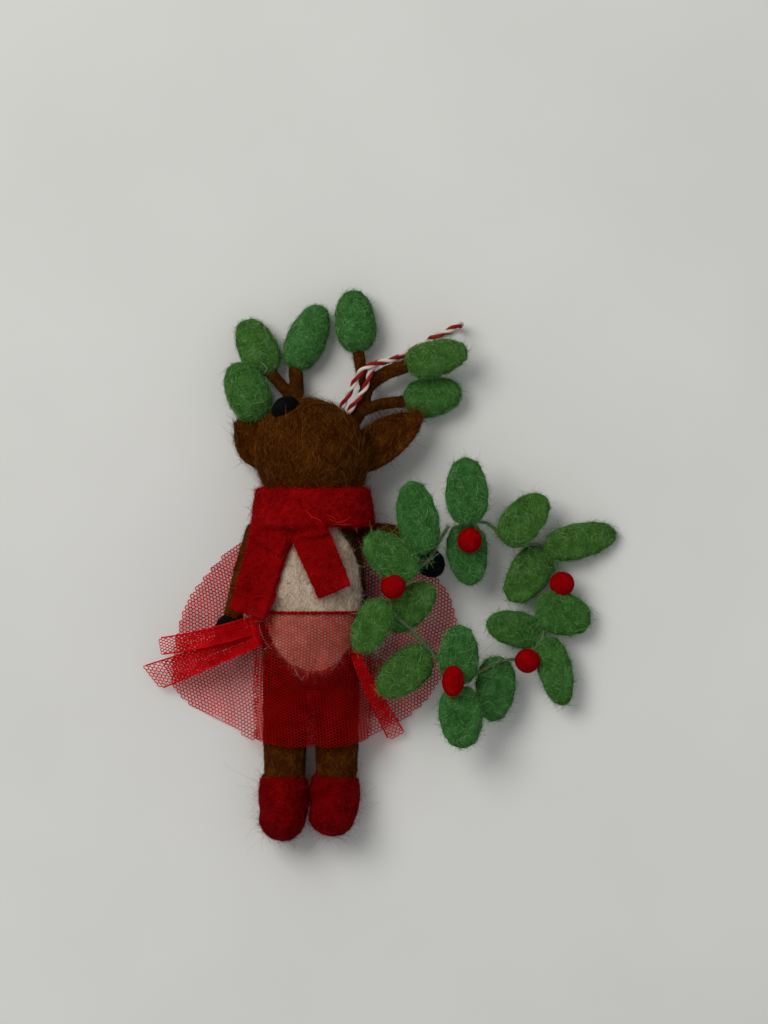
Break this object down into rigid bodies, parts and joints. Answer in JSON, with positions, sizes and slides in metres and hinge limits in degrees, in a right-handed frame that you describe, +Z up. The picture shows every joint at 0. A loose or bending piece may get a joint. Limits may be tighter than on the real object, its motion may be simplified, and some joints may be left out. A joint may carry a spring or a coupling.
{
  "type": "felt_reindeer_ornament",
  "caption": "Needle-felted reindeer ornament lying on its back, with leaf-tipped antlers, a red scarf, a tulle skirt, boots and a leaf wreath on one hoof",
  "frame": {"origin": "middle of the underside's bounding box, on the table; the loose twine doesn't count", "axes": "+X to the figure's wreath (right in the picture), +Y from the boots to the antlers, +Z up from the table to the figure's front"},
  "size_m": [0.1178, 0.1378, 0.0294],
  "materials": {
    "brown_wool": "needle-felted brown wool, matt and hairy",
    "antler_wool": "dark brown wool wound round the branches, matt",
    "cream_wool": "needle-felted cream wool, matt and hairy",
    "black_wool": "needle-felted black wool, matt",
    "green_wool": "thick green felt, matt with loose fibres",
    "red_felt": "red felt sheet, matt",
    "red_wool": "needle-felted red wool, matt and hairy",
    "red_tulle": "open red net of fine threads",
    "twine": "twisted cotton twine, one ply red and one white",
    "wire": "thin bare wire, dull",
    "berry_red": "tightly felted red wool ball, matt",
    "white_thread": "white sewing thread"
  },
  "bodies": {
    "figure": {"body": "brown_wool", "belly_patch": "cream_wool", "head": "brown_wool", "nose": "black_wool", "eye_left": "black_wool", "eye_right": "black_wool", "ear_left": "brown_wool", "ear_right": "brown_wool", "antler_left": "antler_wool", "antler_right": "antler_wool", "antler_leaf_left_upper": "green_wool", "antler_leaf_left_outer": "green_wool", "antler_leaf_left_lower": "green_wool", "antler_leaf_right_upper": "green_wool", "antler_leaf_right_outer": "green_wool", "antler_leaf_right_lower": "green_wool", "scarf_band": "red_felt", "leg_left": "brown_wool", "leg_right": "brown_wool", "boot_left": "red_wool", "boot_right": "red_wool", "tulle_skirt": "red_tulle", "waist_gather": "red_felt", "tie_left_upper": "red_tulle", "tie_left_lower": "red_tulle", "tie_right": "red_tulle", "hanging_loop": "twine"},
    "left_arm": {"arm_left": "brown_wool", "hoof_left": "black_wool"},
    "right_arm": {"arm_right": "brown_wool", "hoof_right": "black_wool"},
    "wreath": {"wreath_wire": "wire", "wreath_thread": "white_thread", "wreath_leaf_1": "green_wool", "wreath_leaf_2": "green_wool", "wreath_leaf_3": "green_wool", "wreath_leaf_4": "green_wool", "wreath_leaf_5": "green_wool", "wreath_leaf_6": "green_wool", "wreath_leaf_7": "green_wool", "wreath_leaf_8": "green_wool", "wreath_leaf_9": "green_wool", "wreath_leaf_10": "green_wool", "wreath_leaf_11": "green_wool", "wreath_leaf_12": "green_wool", "wreath_leaf_13": "green_wool", "wreath_leaf_14": "green_wool", "wreath_leaf_15": "green_wool", "wreath_leaf_16": "green_wool", "berry_1": "berry_red", "berry_2": "berry_red", "berry_3": "berry_red", "berry_4": "berry_red", "berry_5": "berry_red"},
    "left_tail": {"scarf_tail_left": "red_felt"},
    "right_tail": {"scarf_tail_right": "red_felt"}
  },
  "joints": [
    {"name": "shoulder_left", "type": "hinge", "parent": "figure", "child": "left_arm", "pos_m": [-0.03113, 0.00806, 0.01277], "axis": [0, 0, -1], "range_deg": [0, 12]},
    {"name": "shoulder_right", "type": "hinge", "parent": "figure", "child": "right_arm", "pos_m": [-0.00297, 0.00806, 0.01277], "axis": [0, 0, 1], "range_deg": [0, 10]},
    {"name": "wreath_swing", "type": "hinge", "parent": "right_arm", "child": "wreath", "pos_m": [0.01215, 0.00074, 0.01662], "axis": [0.342, 0, 0.9397], "range_deg": [0, 10]},
    {"name": "scarf_tail_left_lift", "type": "hinge", "parent": "figure", "child": "left_tail", "pos_m": [-0.02855, 0.00356, 0.02351], "axis": [-0.9088, 0.2754, -0.3134], "range_deg": [0, 50]},
    {"name": "scarf_tail_right_lift", "type": "hinge", "parent": "figure", "child": "right_tail", "pos_m": [-0.01743, 0.00728, 0.02743], "axis": [-0.9208, -0.39, 0], "range_deg": [0, 50]}
  ]
}
